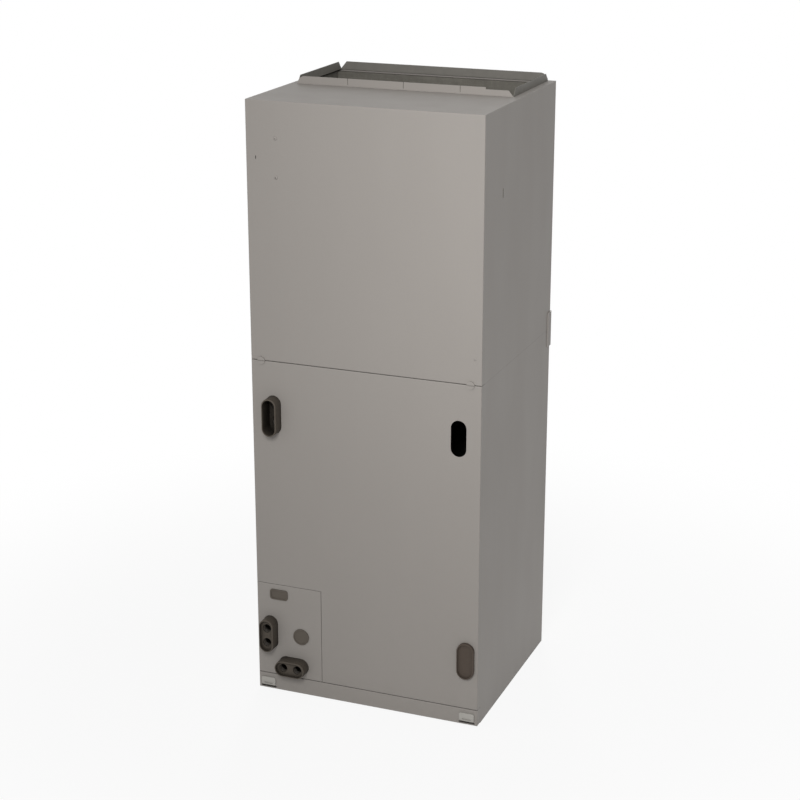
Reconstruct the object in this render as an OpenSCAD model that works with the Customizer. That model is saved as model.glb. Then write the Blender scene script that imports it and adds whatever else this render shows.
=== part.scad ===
// Upright air handling unit: a blower box stacked on a coil box, all in folded sheet metal.
// X runs to the right, Y to the back and Z up. The origin is on the floor, under the middle of the whole
// unit from the mouths of the drain spouts to the rear brackets.

/* [Cabinet] */
// Width across the two cabinet sides
cabinet_w = 616; // [560:1:760]
// Depth from the front of the access panels to the back sheet
cabinet_d = 550; // [530:1:700]
// Height without the duct flanges
cabinet_h = 1575; // [1540:1:1800]
// Height of the joint between coil box and blower box
seam_z = 918; // [890:1:950]
// Thickness of the cabinet sheet
sheet_t = 1.2; // [1:0.1:2]
// Width of the inward lips at the front of the cabinet sides
lip_w = 14; // [8:1:15]
// Outside bend radius of cabinet and panels
bend_r = 2.5; // [1.5:0.5:3]
// Thickness of the wall insulation
liner_t = 12; // [6:1:16]
// Space between the top of the insulation and the roof sheet
liner_top_gap = 6; // [2:1:20]

/* [Supply outlet] */
// Distance of the outlet from each cabinet side
outlet_side = 20; // [16:1:60]
// Distance of the outlet from the front of the cabinet
outlet_front = 264; // [240:1:280]
// Distance of the outlet from the back of the cabinet
outlet_back = 8; // [4:1:20]
// Height of the turned-up duct flanges
flange_h = 20; // [12:1:40]
// Length cut off each flange end along its top edge
flange_clip = 17; // [4:1:30]
// Number of bend slits in the front flange
flange_slits = 3; // [1:1:5]
// Distance between the bend slits
slit_pitch = 150; // [80:1:160]
// Width of a bend slit
slit_w = 1.6; // [1:0.1:3]
// Height of the flange below the bend slits
slit_foot = 4; // [2:1:8]
// Length of the lower step at the right end of the front flange
step_w = 72; // [40:1:90]
// Height by which that step is lower
step_drop = 5; // [2:0.5:8]

/* [Access panels] */
// Depth of the folded access panels
panel_depth = 25; // [18:1:35]
// Gap between neighbouring panels
panel_gap = 1; // [0.5:0.5:4]
// Gap between the filter door and the floor
door_floor_gap = 2; // [1:0.5:6]
// Height of the filter door
filter_door_h = 44; // [40:1:50]
// Width of the fitting panel
fitting_panel_w = 183; // [175:1:220]
// Height of the fitting panel
fitting_panel_h = 260; // [250:1:300]
// Distance of the panel latches from the cabinet sides
latch_inset = 28; // [18:1:60]
// Radius of the panel latches
latch_r = 10; // [7:0.5:14]
// Height of the latch heads above the panels
latch_proud = 3; // [2:0.5:6]
// Width of the screwdriver slot in the latch heads
latch_slot = 2.5; // [1.5:0.5:4]
// Width of a filter door clip
clip_w = 40; // [24:1:60]
// Height of a filter door clip
clip_h = 22; // [12:1:26]
// Height of the clips above the door
clip_proud = 3; // [2:0.5:5]
// Distance of the clips from the cabinet sides
clip_inset = 8; // [4:1:40]
// Overhang of the slot under a clip, on each side of the clip
finger_over = 2; // [0:0.5:2]
// Height of the slot under a clip
finger_h = 5; // [3:0.5:6]
// Height of the middle of that slot above the floor
finger_z = 8; // [7.5:0.5:9]
// Width of the small slit at the left of the blower panel
mark_w = 2; // [1.5:0.5:4]
// Height of that slit
mark_h = 9; // [6:1:16]
// Distance of that slit from the left side
mark_inset = 26; // [18:1:40]
// Drop from the roof to the middle of that slit
mark_drop = 140; // [100:1:200]
// Depth of the cross channel behind the panel joint
channel_d = 16; // [12:1:20]
// Height of the cross channel behind the panel joint
channel_h = 44; // [36:2:52]

/* [Drain spouts and plugs] */
// Reach of the spouts in front of the panels
spout_proud = 32; // [15:1:45]
// Width of the upright spouts
spout_w = 40; // [36:1:44]
// Height of the upper left spout
upper_spout_h = 100; // [90:1:110]
// Distance of the upper left spout from the left side
upper_spout_inset = 59; // [50:1:62]
// Drop from the box joint to the middle of the upper spout and slot
upper_spout_drop = 141; // [100:1:200]
// Height of the lower left spout
lower_spout_h = 92; // [86:1:98]
// Distance of the lower left spout from the left side
lower_spout_inset = 37; // [36:1:44]
// Height of the middle of the lower left spout above the floor
lower_spout_z = 168; // [160:1:180]
// Width of the low spout
low_spout_w = 84; // [80:1:100]
// Height of the low spout
low_spout_h = 44; // [36:1:46]
// Distance of the low spout from the left side
low_spout_inset = 102; // [90:1:125]
// Height of the middle of the low spout above the floor
low_spout_z = 81; // [78:1:84]
// Wall of the spouts and drain pans
spout_wall = 3; // [2:0.5:4]
// Depth of the recess in the mouths of the two lower spouts
spout_recess = 8; // [4:1:20]
// Depth of the recess in the mouth of the upper left spout
upper_recess = 45; // [8:1:48]
// Rounding of the front edge of spouts and right plug
mouth_round = 2; // [0.5:0.5:2]
// Radius of a drain port
port_r = 12; // [9:0.5:13]
// Distance from the middle of a spout to its ports
port_offset = 20; // [16:0.5:24]
// Space round a spout in its cut-out
spout_clear = 1; // [0.5:0.5:3]
// Width of the open slot at the upper right
open_slot_w = 41; // [30:1:60]
// Height of the open slot at the upper right
open_slot_h = 94; // [70:1:120]
// Distance of the open slot from the right side
open_slot_inset = 58; // [45:1:80]
// Width of the lower right plug
plug_w = 46; // [40:1:52]
// Height of the lower right plug
plug_h = 99; // [80:1:120]
// Reach of the lower right plug in front of the panel
plug_proud = 10; // [3:1:20]
// Distance of the lower right plug from the right side
plug_inset = 32; // [30:1:60]
// Height of the middle of the lower right plug above the floor
plug_z = 183; // [150:1:220]
// Overlap of a plug's rim on its panel
plug_rim = 3; // [2:0.5:5]
// Width of the liquid line plug
liquid_w = 50; // [44:1:60]
// Height of the liquid line plug
liquid_h = 28; // [24:1:36]
// Distance of the liquid line plug from the left side
liquid_inset = 63; // [55:1:90]
// Height of the liquid line plug above the floor
liquid_z = 279; // [262:1:282]
// Radius of the suction line plug
suction_r = 22; // [19:0.5:26]
// Distance of the suction line plug from the left side
suction_inset = 125; // [118:1:135]
// Height of the suction line plug above the floor
suction_z = 168; // [155:1:190]
// Reach of the line plugs in front of the panel
line_plug_proud = 3; // [2:0.5:8]

/* [Back and side] */
// Thickness of the rear brackets
bracket_t = 3; // [2:0.5:5]
// Height of the rear brackets
bracket_h = 94; // [60:1:140]
// Width of a bracket's leg on the cabinet side
bracket_side = 25; // [15:1:60]
// Width of a bracket's leg on the back
bracket_back = 40; // [20:1:80]
// Width of the wiring slot in the right side
side_slot_w = 6; // [4:1:12]
// Height of the wiring slot in the right side
side_slot_h = 24; // [14:1:40]
// Distance of the wiring slot from the front
side_slot_front = 138; // [100:1:200]
// Drop from the roof to the middle of the wiring slot
side_slot_drop = 210; // [120:1:300]

/* [Base and filter] */
// Width of the base frame's floor leg
base_leg = 40; // [30:1:60]
// Height of the base frame's inner upstand, on which the filter lies
base_h = 10; // [6:1:14]
// Thickness of the filter
filter_t = 25; // [18:1:26]
// Width of the filter frame's border
filter_border = 20; // [14:1:30]
// Number of pleats in the filter
pleats = 26; // [12:1:40]
// Thickness of the pleated filter sheet
pleat_t = 1.6; // [1:0.1:3]
// Width of the rails that hold filter and drain pan
rail_w = 26; // [18:1:34]
// Space between the filter and the cabinet sides
filter_side_gap = 4; // [2:1:6]
// Space between the filter and the front lips or the back sheet
filter_end_gap = 6; // [4:1:8]

/* [Coil] */
// Height of the bottom drain pan above the floor
pan_z = 57; // [55:1:58]
// Height of the bottom drain pan
pan_h = 50; // [49:1:54]
// Space between the drain pans and the front lips
pan_front_gap = 7; // [5:1:8]
// Space between the drain pans and the back sheet
pan_back_gap = 16; // [16:1:18]
// Space between the bottom pan and the cabinet sides
pan_side_gap = 6; // [4:1:8]
// Width of the bottom pan's trough at the front
trough_front = 52; // [48:1:56]
// Width of the bottom pan's trough at the back
trough_back = 48; // [44:1:52]
// Distance from the throat of the bottom pan to the foot of a coil slab
trough_side = 16; // [14:1:18]
// Height of the curb round the throat
pan_curb = 35; // [30:1:40]
// Height of the side drain pan
side_pan_h = 750; // [730:1:770]
// Width of the side drain pan
side_pan_w = 67; // [64:1:70]
// Thickness of the coil slabs
coil_t = 60; // [40:1:65]
// Length of the coil slabs along their slope
coil_len = 620; // [560:1:680]
// Distance of the coil slabs from the front and back of the throat
coil_inset = 10; // [4:1:20]
// Distance from the centre to a slab's lower inner edge
coil_foot_x = 156; // [150:1:165]
// Distance from the centre to a slab's upper inner edge
coil_head_x = 30; // [20:1:60]
// Gap between the curb and the coil's end plates
plate_gap = 4; // [2:1:8]

/* [Blower] */
// Depth of the supply plenum below the roof
plenum_h = 190; // [150:1:200]
// Width of the blower housing
housing_w = 290; // [240:1:330]
// Radius of the blower wheel
wheel_r = 130; // [120:1:134]
// Depth of the wheel's blades
blade_depth = 20; // [14:1:26]
// Number of blades
blades = 40; // [20:1:48]
// Thickness of the blades and of the wheel's middle plate
blade_t = 1.2; // [1:0.1:2]
// Space between the wheel and the sides of the housing
wheel_gap = 12; // [8:1:16]
// Width of the wheel's end rings
ring_w = 6; // [4:1:8]
// Radius of the wheel's hub
hub_r = 18; // [14:1:22]
// Length of the wheel's hub
hub_len = 20; // [16:1:24]
// Radius of the blower shaft
shaft_r = 6.35; // [6:0.05:8]
// Length of the shaft past the hub
shaft_over = 10; // [4:1:16]
// Radius of the scroll at its cutoff
scroll_cut_r = 150; // [142:1:156]
// Radius of the scroll at its outlet
scroll_out_r = 215; // [200:1:220]
// Drop from the blower deck to the blower shaft
shaft_drop = 235; // [220:1:245]
// Distance of the blower shaft from the front of the cabinet
shaft_front = 300; // [270:1:320]
// Distance from the blower shaft to the front of the housing's neck
neck_front = 45; // [40:1:50]
// Radius of the blower motor
motor_r = 72; // [60:1:80]
// Length of the blower motor
motor_len = 150; // [144:1:160]
// Space between the motor and the wheel's middle plate
motor_gap = 12; // [8:1:14]
// Length of the motor's end cap
motor_cap = 14; // [10:1:20]
// Width of the belly band round the motor
band_w = 18; // [14:1:22]
// Thickness of the belly band and its arms
band_t = 2; // [1.5:0.5:3]
// Width of the arms of the belly band
arm_w = 16; // [12:1:24]
// Overlap of those arms on the side of the housing
arm_lap = 14; // [10:1:18]

/* [Hidden] */
$fn = 64;

paint = [0.60, 0.585, 0.56];
galvanized = [0.72, 0.73, 0.74];
clip_plastic = [0.67, 0.665, 0.645];
black_plastic = [0.07, 0.068, 0.065];
taupe_plug = [0.36, 0.335, 0.305];
liner_grey = [0.30, 0.295, 0.27];

half_w = cabinet_w / 2;
overall_d = spout_proud + cabinet_d + bracket_t;
front_y = spout_proud - overall_d / 2;
back_y = front_y + cabinet_d;
wrap_y = front_y + panel_depth;
roof_z = cabinet_h - sheet_t;
inner_x = half_w - sheet_t;
inner_front = wrap_y + sheet_t;
inner_back = back_y - sheet_t;
liner_x = inner_x - liner_t;
liner_back = inner_back - liner_t;
cut = 1;
fit = 0.3;

outlet_x = half_w - outlet_side;
outlet_y0 = front_y + outlet_front;
outlet_y1 = back_y - outlet_back;
flange_top = cabinet_h + flange_h;

door_top = door_floor_gap + filter_door_h;
panels_z = door_top + panel_gap;
fitting_right = -half_w + fitting_panel_w;
fitting_top = panels_z + fitting_panel_h;

upper_spout_x = -half_w + upper_spout_inset;
upper_spout_z = seam_z - upper_spout_drop;
lower_spout_x = -half_w + lower_spout_inset;
low_spout_x = -half_w + low_spout_inset;
open_slot_x = half_w - open_slot_inset;
plug_x = half_w - plug_inset;
liquid_x = -half_w + liquid_inset;
suction_x = -half_w + suction_inset;
spout_y = front_y - spout_proud;
clip_x = half_w - clip_inset - clip_w / 2;

pan_y0 = inner_front + pan_front_gap;
pan_y1 = inner_back - pan_back_gap;
pan_x = inner_x - pan_side_gap;
pan_top = pan_z + pan_h;
pan_floor = pan_z + spout_wall;
pan_open_x = coil_foot_x - trough_side;
pan_open_y0 = pan_y0 + trough_front;
pan_open_y1 = pan_y1 - trough_back;
side_pan_x1 = -liner_x + side_pan_w;

coil_y0 = pan_open_y0 + coil_inset;
coil_y1 = pan_open_y1 - coil_inset;
coil_lean = asin((coil_foot_x - coil_head_x) / coil_len);
coil_top = pan_floor + coil_t * sin(coil_lean) + coil_len * cos(coil_lean);

filter_x = inner_x - filter_side_gap;
filter_y0 = inner_front + filter_end_gap;
filter_y1 = inner_back - filter_end_gap;

deck_z = roof_z - plenum_h;
shaft_y = front_y + shaft_front;
shaft_z = deck_z - shaft_drop;
cut_angle = acos(neck_front / scroll_cut_r);
scroll_steps = 48;
inlet_r = wheel_r - blade_depth;

// Radius of the scroll wall at an angle from its outlet side
function scroll_r(a) =
    scroll_cut_r * pow(scroll_out_r / scroll_cut_r, (a - cut_angle) / (360 - cut_angle));

// Outline of the scroll with its outlet neck, moved outwards by a distance
function scroll_outline(grow, neck) = concat(
    [[scroll_out_r + grow, neck], [neck_front - grow, neck]],
    [for (i = [0 : scroll_steps])
        let (a = cut_angle + (360 - cut_angle) * i / scroll_steps, r = scroll_r(a) + grow)
        [r * cos(a) - (i == 0 ? grow : 0), r * sin(a)]]
);

// Folded zigzag of the filter sheet from one side to the other
function zigzag(width, height, count) =
    [for (i = [0 : 2 * count]) [-width / 2 + width * i / (2 * count), (i % 2) * height]];

// Extrudes a front-view outline (X, Z) between two places along Y
module front_extrude(y0, y1) {
    translate([0, y1, 0]) rotate([90, 0, 0]) linear_extrude(height = y1 - y0) children();
}

// Extrudes a side-view outline (Y, Z) between two places along X
module side_extrude(x0, x1) {
    translate([x0, 0, 0]) rotate([90, 0, 90]) linear_extrude(height = x1 - x0) children();
}

// Rectangle between two corners
module rect(a0, b0, a1, b1) {
    translate([a0, b0]) square([a1 - a0, b1 - b0]);
}

// Rectangle whose two corners along its lower edge are rounded
module round_low(a0, b0, a1, b1, r) {
    rect(a0, b0 + r, a1, b1);
    rect(a0 + r, b0, a1 - r, b1);
    for (a = [a0 + r, a1 - r]) translate([a, b0 + r]) circle(r);
}

// Rectangle whose two corners along its left edge are rounded
module round_left(a0, b0, a1, b1, r) {
    rect(a0 + r, b0, a1, b1);
    rect(a0, b0 + r, a1, b1 - r);
    for (b = [b0 + r, b1 - r]) translate([a0 + r, b]) circle(r);
}

// Rectangle with four rounded corners
module round_all(w, h, r) {
    square([w - 2 * r, h], center = true);
    square([w, h - 2 * r], center = true);
    for (sx = [-1, 1], sz = [-1, 1]) translate([sx * (w / 2 - r), sz * (h / 2 - r)]) circle(r);
}

// Oblong with round ends, standing or lying
module oblong(w, h) {
    r = min(w, h) / 2;
    square([w > h ? w - 2 * r : w, h > w ? h - 2 * r : h], center = true);
    for (s = [-1, 1]) translate([s * (w / 2 - r), s * (h / 2 - r)]) circle(r);
}

// Section of a bar from its axis outwards, with a rounded corner at the front
module soft_section(reach, length, r) {
    rect(0, r, reach, length);
    rect(0, 0, reach - r, r);
    intersection() {
        translate([reach - r, r]) circle(r);
        rect(reach - r, 0, reach, r);
    }
}

// Oblong bar along Y whose front edge is rounded
module soft_oblong(w, h, y0, y1, r) {
    end_r = min(w, h) / 2;
    reach = max(w, h) / 2 - end_r;
    translate([0, y0, 0]) rotate([0, w > h ? 90 : 0, 0]) {
        for (turn = [0, 180]) rotate([0, turn, 0]) translate([0, 0, -reach]) rotate([-90, 0, 0])
            rotate_extrude(angle = 180) soft_section(end_r, y1 - y0, r);
        for (turn = [0, 180]) rotate([0, turn, 0]) translate([0, 0, -reach])
            linear_extrude(height = 2 * reach) soft_section(end_r, y1 - y0, r);
    }
}

// Solid between two corners
module block(x0, y0, z0, x1, y1, z1) {
    translate([x0, y0, z0]) cube([x1 - x0, y1 - y0, z1 - z0]);
}

// Outer form of a folded panel with bent front edges
module panel_form(x0, z0, x1, z1) {
    intersection() {
        translate([0, 0, z0]) linear_extrude(height = z1 - z0)
            round_low(x0, front_y, x1, wrap_y, bend_r);
        side_extrude(x0, x1) round_left(front_y, z0, wrap_y, z1, bend_r);
    }
}

// Folded panel, open at its back
module panel_shell(x0, z0, x1, z1) {
    difference() {
        panel_form(x0, z0, x1, z1);
        block(x0 + sheet_t, front_y + sheet_t, z0 + sheet_t, x1 - sheet_t, wrap_y + cut, z1 - sheet_t);
    }
}

// Cut through the front sheet of a panel, centred at a place in front view
module panel_cut(x, z) {
    translate([x, 0, z]) front_extrude(front_y - cut, front_y + sheet_t + cut) children();
}

// Plan of the bent cabinet sheet with its front lips
module wrap_plan() {
    difference() {
        mirror([0, 1]) round_low(-half_w, -back_y, half_w, -wrap_y, bend_r);
        rect(-inner_x, inner_front, inner_x, inner_back);
        rect(-half_w + lip_w, wrap_y - cut, half_w - lip_w, inner_front + cut);
    }
}

// Plan of the insulation along the cabinet sheet
module liner_plan() {
    difference() {
        rect(-inner_x, inner_front, inner_x, inner_back);
        rect(-liner_x, inner_front - cut, liner_x, liner_back);
    }
}

module upper_cabinet() {
    color(paint) difference() {
        translate([0, 0, seam_z]) linear_extrude(height = roof_z - seam_z) wrap_plan();
        translate([0, front_y + side_slot_front, cabinet_h - side_slot_drop])
            side_extrude(inner_x - cut, half_w + cut) oblong(side_slot_w, side_slot_h);
    }
}

module lower_cabinet() {
    color(paint) linear_extrude(height = seam_z) wrap_plan();
}

// Half of a turned-up flange in front view, with a clipped end
module clipped_half(half) {
    polygon([
        [0, roof_z], [half, roof_z], [half, cabinet_h], [half - flange_clip, flange_top], [0, flange_top]
    ]);
}

// Half of a turned-up flange in front view, with a rounded end
module rounded_half(half) {
    rect(0, roof_z, half, cabinet_h);
    rect(0, cabinet_h, half - flange_h, flange_top);
    intersection() {
        translate([half - flange_h, cabinet_h]) circle(flange_h);
        rect(half - flange_h, cabinet_h, half, flange_top);
    }
}

// Turned-up flange in front view, clipped at both ends
module side_flange(half) {
    clipped_half(half);
    mirror([1, 0]) clipped_half(half);
}

// Turned-up flange in front view, clipped at its left and rounded at its right
module back_flange(half) {
    rounded_half(half);
    mirror([1, 0]) clipped_half(half);
}

// Turned-up flange in front view, rounded at its left, with bend slits and a step at its right
module front_flange(half) {
    difference() {
        mirror([1, 0]) back_flange(half);
        rect(half - step_w, flange_top - step_drop, half + cut, flange_top + cut);
        for (i = [0 : flange_slits - 1]) translate([(i - (flange_slits - 1) / 2) * slit_pitch, 0])
            rect(-slit_w / 2, cabinet_h + slit_foot, slit_w / 2, flange_top + cut);
    }
}

module top_panel() {
    outlet_mid = (outlet_y0 + outlet_y1) / 2;
    outlet_half = (outlet_y1 - outlet_y0) / 2;
    color(paint) {
        translate([0, 0, roof_z]) linear_extrude(height = sheet_t) difference() {
            mirror([0, 1]) round_low(-half_w, -back_y, half_w, -wrap_y, bend_r);
            rect(-outlet_x + sheet_t, outlet_y0 + sheet_t, outlet_x - sheet_t, outlet_y1 - sheet_t);
        }
        front_extrude(outlet_y0, outlet_y0 + sheet_t) front_flange(outlet_x);
        front_extrude(outlet_y1 - sheet_t, outlet_y1) back_flange(outlet_x);
        side_extrude(-outlet_x, -outlet_x + sheet_t) translate([outlet_mid, 0]) side_flange(outlet_half);
        side_extrude(outlet_x - sheet_t, outlet_x) translate([outlet_mid, 0]) side_flange(outlet_half);
    }
}

module base_frame() {
    open_x = inner_x - base_leg;
    open_y0 = inner_front + base_leg;
    open_y1 = inner_back - base_leg;
    color(galvanized) {
        linear_extrude(height = sheet_t) difference() {
            rect(-inner_x, inner_front, inner_x, inner_back);
            rect(-open_x, open_y0, open_x, open_y1);
        }
        linear_extrude(height = base_h) difference() {
            rect(-open_x - sheet_t, open_y0 - sheet_t, open_x + sheet_t, open_y1 + sheet_t);
            rect(-open_x, open_y0, open_x, open_y1);
        }
    }
}

module center_rail() {
    half = channel_h / 2;
    color(galvanized) side_extrude(-half_w + lip_w, half_w - lip_w) difference() {
        rect(wrap_y, seam_z - half, wrap_y + channel_d, seam_z + half);
        rect(wrap_y + sheet_t, seam_z - half + sheet_t, wrap_y + channel_d + cut, seam_z + half - sheet_t);
    }
}

module blower_access_panel() {
    color(paint) difference() {
        panel_shell(-half_w, seam_z + panel_gap / 2, half_w, cabinet_h);
        panel_cut(-half_w + mark_inset, cabinet_h - mark_drop) oblong(mark_w, mark_h);
    }
}

module coil_access_panel() {
    top = seam_z - panel_gap / 2;
    side = fitting_right + panel_gap;
    low = fitting_top + panel_gap;
    color(paint) difference() {
        panel_form(-half_w, panels_z, half_w, top);
        block(-half_w - cut, front_y - cut, panels_z - cut, side, wrap_y + cut, low);
        block(side + sheet_t, front_y + sheet_t, panels_z + sheet_t,
            half_w - sheet_t, wrap_y + cut, top - sheet_t);
        block(-half_w + sheet_t, front_y + sheet_t, low + sheet_t,
            half_w - sheet_t, wrap_y + cut, top - sheet_t);
        panel_cut(upper_spout_x, upper_spout_z)
            oblong(spout_w + 2 * spout_clear, upper_spout_h + 2 * spout_clear);
        panel_cut(open_slot_x, upper_spout_z) oblong(open_slot_w, open_slot_h);
        panel_cut(plug_x, plug_z) oblong(plug_w - 2 * plug_rim, plug_h - 2 * plug_rim);
    }
}

module fitting_panel() {
    color(paint) difference() {
        panel_shell(-half_w, panels_z, fitting_right, fitting_top);
        panel_cut(lower_spout_x, lower_spout_z)
            oblong(spout_w + 2 * spout_clear, lower_spout_h + 2 * spout_clear);
        panel_cut(low_spout_x, low_spout_z)
            oblong(low_spout_w + 2 * spout_clear, low_spout_h + 2 * spout_clear);
        panel_cut(liquid_x, liquid_z)
            round_all(liquid_w - 2 * plug_rim, liquid_h - 2 * plug_rim, liquid_h / 4);
        panel_cut(suction_x, suction_z) circle(suction_r - plug_rim);
    }
}

module filter_door() {
    color(paint) difference() {
        panel_shell(-half_w, door_floor_gap, half_w, door_top);
        for (s = [-1, 1]) panel_cut(s * clip_x, finger_z) oblong(clip_w + 2 * finger_over, finger_h);
    }
}

// Round fastener with a screwdriver slot, on the joint between two panels
module panel_latch(x) {
    color(paint) difference() {
        translate([x, 0, seam_z]) front_extrude(front_y - latch_proud, front_y) circle(latch_r);
        block(x - latch_r, front_y - latch_proud - cut, seam_z - latch_slot / 2,
            x + latch_r, front_y - latch_proud / 2, seam_z + latch_slot / 2);
    }
}

module panel_latch_left() {
    panel_latch(-half_w + latch_inset);
}

module panel_latch_right() {
    panel_latch(half_w - latch_inset);
}

// Folded clip on the face of the filter door, with a finger slot below its middle
module filter_door_clip(x) {
    mid_z = (door_floor_gap + door_top) / 2;
    color(clip_plastic) difference() {
        translate([x, 0, mid_z]) front_extrude(front_y - clip_proud, front_y)
            round_all(clip_w, clip_h, clip_h / 5);
        translate([x, 0, mid_z - clip_h / 4])
            front_extrude(front_y - clip_proud - cut, front_y - clip_proud / 3)
            oblong(clip_w * 0.6, clip_h / 5);
    }
}

module filter_door_clip_left() {
    filter_door_clip(-clip_x);
}

module filter_door_clip_right() {
    filter_door_clip(clip_x);
}

// Angle that ties the two boxes together at a rear corner
module rear_bracket(side) {
    x0 = half_w - bracket_back;
    x1 = half_w + bracket_t;
    y0 = back_y - bracket_side;
    y1 = back_y + bracket_t;
    color(paint) mirror([side < 0 ? 1 : 0, 0, 0])
        translate([0, 0, seam_z - bracket_h / 2]) linear_extrude(height = bracket_h) {
            rect(half_w, y0, x1, back_y);
            rect(x0, back_y, half_w, y1);
            intersection() {
                translate([half_w, back_y]) circle(bracket_t);
                rect(half_w, back_y, x1, y1);
            }
        }
}

module rear_bracket_left() {
    rear_bracket(-1);
}

module rear_bracket_right() {
    rear_bracket(1);
}

module suction_line_plug() {
    color(taupe_plug) translate([suction_x, 0, suction_z]) difference() {
        union() {
            front_extrude(front_y - line_plug_proud, front_y) circle(suction_r);
            front_extrude(front_y, front_y + 2 * sheet_t) circle(suction_r - plug_rim - fit);
        }
        front_extrude(front_y - line_plug_proud - cut, front_y - line_plug_proud / 2)
            circle(suction_r - plug_rim);
    }
}

module liquid_line_plug() {
    r = liquid_h / 4;
    inner_w = liquid_w - 2 * plug_rim;
    inner_h = liquid_h - 2 * plug_rim;
    color(taupe_plug) translate([liquid_x, 0, liquid_z]) difference() {
        union() {
            front_extrude(front_y - line_plug_proud, front_y) round_all(liquid_w, liquid_h, r);
            front_extrude(front_y, front_y + 2 * sheet_t)
                round_all(inner_w - 2 * fit, inner_h - 2 * fit, r - fit);
        }
        front_extrude(front_y - line_plug_proud - cut, front_y - line_plug_proud / 2)
            round_all(inner_w, inner_h, r);
    }
}

module right_drain_plug() {
    inner_w = plug_w - 2 * plug_rim;
    inner_h = plug_h - 2 * plug_rim;
    color(taupe_plug) translate([plug_x, 0, plug_z]) difference() {
        union() {
            soft_oblong(plug_w, plug_h, front_y - plug_proud, front_y, mouth_round);
            front_extrude(front_y, front_y + 4 * sheet_t) oblong(inner_w - 2 * fit, inner_h - 2 * fit);
        }
        front_extrude(front_y - plug_proud - cut, front_y - plug_proud / 2) oblong(inner_w, inner_h);
    }
}

// Drain spout through the panel, from its mouth back to a place along Y
module spout_form(x, z, w, h, back) {
    translate([x, 0, z]) soft_oblong(w, h, spout_y, back, min(mouth_round, spout_wall / 1.5));
}

// Mouth and two ports of a drain spout, set side by side or one over the other
module spout_hollows(x, z, w, h, recess, back) {
    side = w > h ? 1 : 0;
    translate([x, 0, z]) {
        front_extrude(spout_y - cut, spout_y + recess) oblong(w - 2 * spout_wall, h - 2 * spout_wall);
        for (s = [-1, 1]) translate([s * side * port_offset, 0, s * (1 - side) * port_offset])
            front_extrude(spout_y, back + cut) circle(port_r);
    }
}

module side_drain_pan() {
    wall_back = pan_y0 + spout_wall;
    color(black_plastic) difference() {
        union() {
            block(-liner_x, pan_y0, pan_top, side_pan_x1, pan_y1, pan_top + side_pan_h);
            spout_form(upper_spout_x, upper_spout_z, spout_w, upper_spout_h, wall_back);
            spout_form(lower_spout_x, lower_spout_z, spout_w, lower_spout_h, wall_back);
        }
        block(-liner_x + spout_wall, pan_y0 + spout_wall, pan_top + spout_wall,
            side_pan_x1 + cut, pan_y1 - spout_wall, pan_top + side_pan_h - spout_wall);
        spout_hollows(upper_spout_x, upper_spout_z, spout_w, upper_spout_h, upper_recess, wall_back);
        spout_hollows(lower_spout_x, lower_spout_z, spout_w, lower_spout_h, spout_recess, wall_back);
    }
}

module bottom_drain_pan() {
    curb_x = pan_open_x + spout_wall;
    curb_y0 = pan_open_y0 - spout_wall;
    curb_y1 = pan_open_y1 + spout_wall;
    window_x = port_offset + port_r;
    color(black_plastic) difference() {
        union() {
            difference() {
                block(-pan_x, pan_y0, pan_z, pan_x, pan_y1, pan_top);
                block(-pan_x + spout_wall, pan_y0 + spout_wall, pan_floor,
                    pan_x - spout_wall, pan_y1 - spout_wall, pan_top + cut);
            }
            block(-curb_x, curb_y0, pan_z, curb_x, curb_y1, pan_z + pan_curb);
        }
        block(-pan_open_x, pan_open_y0, pan_z - cut, pan_open_x, pan_open_y1, pan_top + cut);
        block(low_spout_x - window_x, pan_y0 - cut, low_spout_z - port_r,
            low_spout_x + window_x, pan_y0 + spout_wall + cut, low_spout_z + port_r);
    }
}

// Spout seated on the bottom pan's front wall, round the window that lets the water out
module low_drain_spout() {
    color(black_plastic) difference() {
        spout_form(low_spout_x, low_spout_z, low_spout_w, low_spout_h, pan_y0);
        spout_hollows(low_spout_x, low_spout_z, low_spout_w, low_spout_h, spout_recess, pan_y0);
    }
}

// Angle along a cabinet side: a leg on the wall and a shelf
module side_rail(side, shelf_z, leg_z) {
    color(galvanized) mirror([side < 0 ? 1 : 0, 0, 0])
        translate([0, back_y - sheet_t, 0]) rotate([90, 0, 0])
        linear_extrude(height = inner_back - inner_front) {
            rect(inner_x - sheet_t, min(shelf_z, leg_z), inner_x, max(shelf_z + sheet_t, leg_z));
            rect(inner_x - rail_w, shelf_z, inner_x, shelf_z + sheet_t);
        }
}

module pan_rail_left() {
    side_rail(-1, pan_z - sheet_t, pan_z - rail_w / 2);
}

module pan_rail_right() {
    side_rail(1, pan_z - sheet_t, pan_z - rail_w / 2);
}

module filter_rail_left() {
    side_rail(-1, base_h + filter_t + fit, base_h);
}

module filter_rail_right() {
    side_rail(1, base_h + filter_t + fit, base_h);
}

module upper_insulation() {
    color(liner_grey) translate([0, 0, seam_z])
        linear_extrude(height = roof_z - liner_top_gap - seam_z) liner_plan();
}

module lower_insulation() {
    color(liner_grey) translate([0, 0, pan_top]) linear_extrude(height = seam_z - pan_top) liner_plan();
}

module plenum_divider() {
    color(galvanized) block(-liner_x, outlet_y0 - sheet_t, deck_z, liner_x, outlet_y0, roof_z);
}

module blower_deck() {
    color(galvanized) translate([0, 0, deck_z - sheet_t]) linear_extrude(height = sheet_t) difference() {
        rect(-liner_x, outlet_y0 - sheet_t, liner_x, liner_back);
        rect(-housing_w / 2 + sheet_t, shaft_y + neck_front, housing_w / 2 - sheet_t, shaft_y + scroll_out_r);
    }
}

module blower_housing() {
    neck = shaft_drop - sheet_t;
    half = housing_w / 2;
    color(galvanized) translate([0, shaft_y, shaft_z]) difference() {
        side_extrude(-half, half) polygon(scroll_outline(sheet_t, neck));
        side_extrude(-half + sheet_t, half - sheet_t) polygon(scroll_outline(0, neck + cut));
        side_extrude(-half - cut, half + cut) circle(inlet_r);
    }
}

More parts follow.
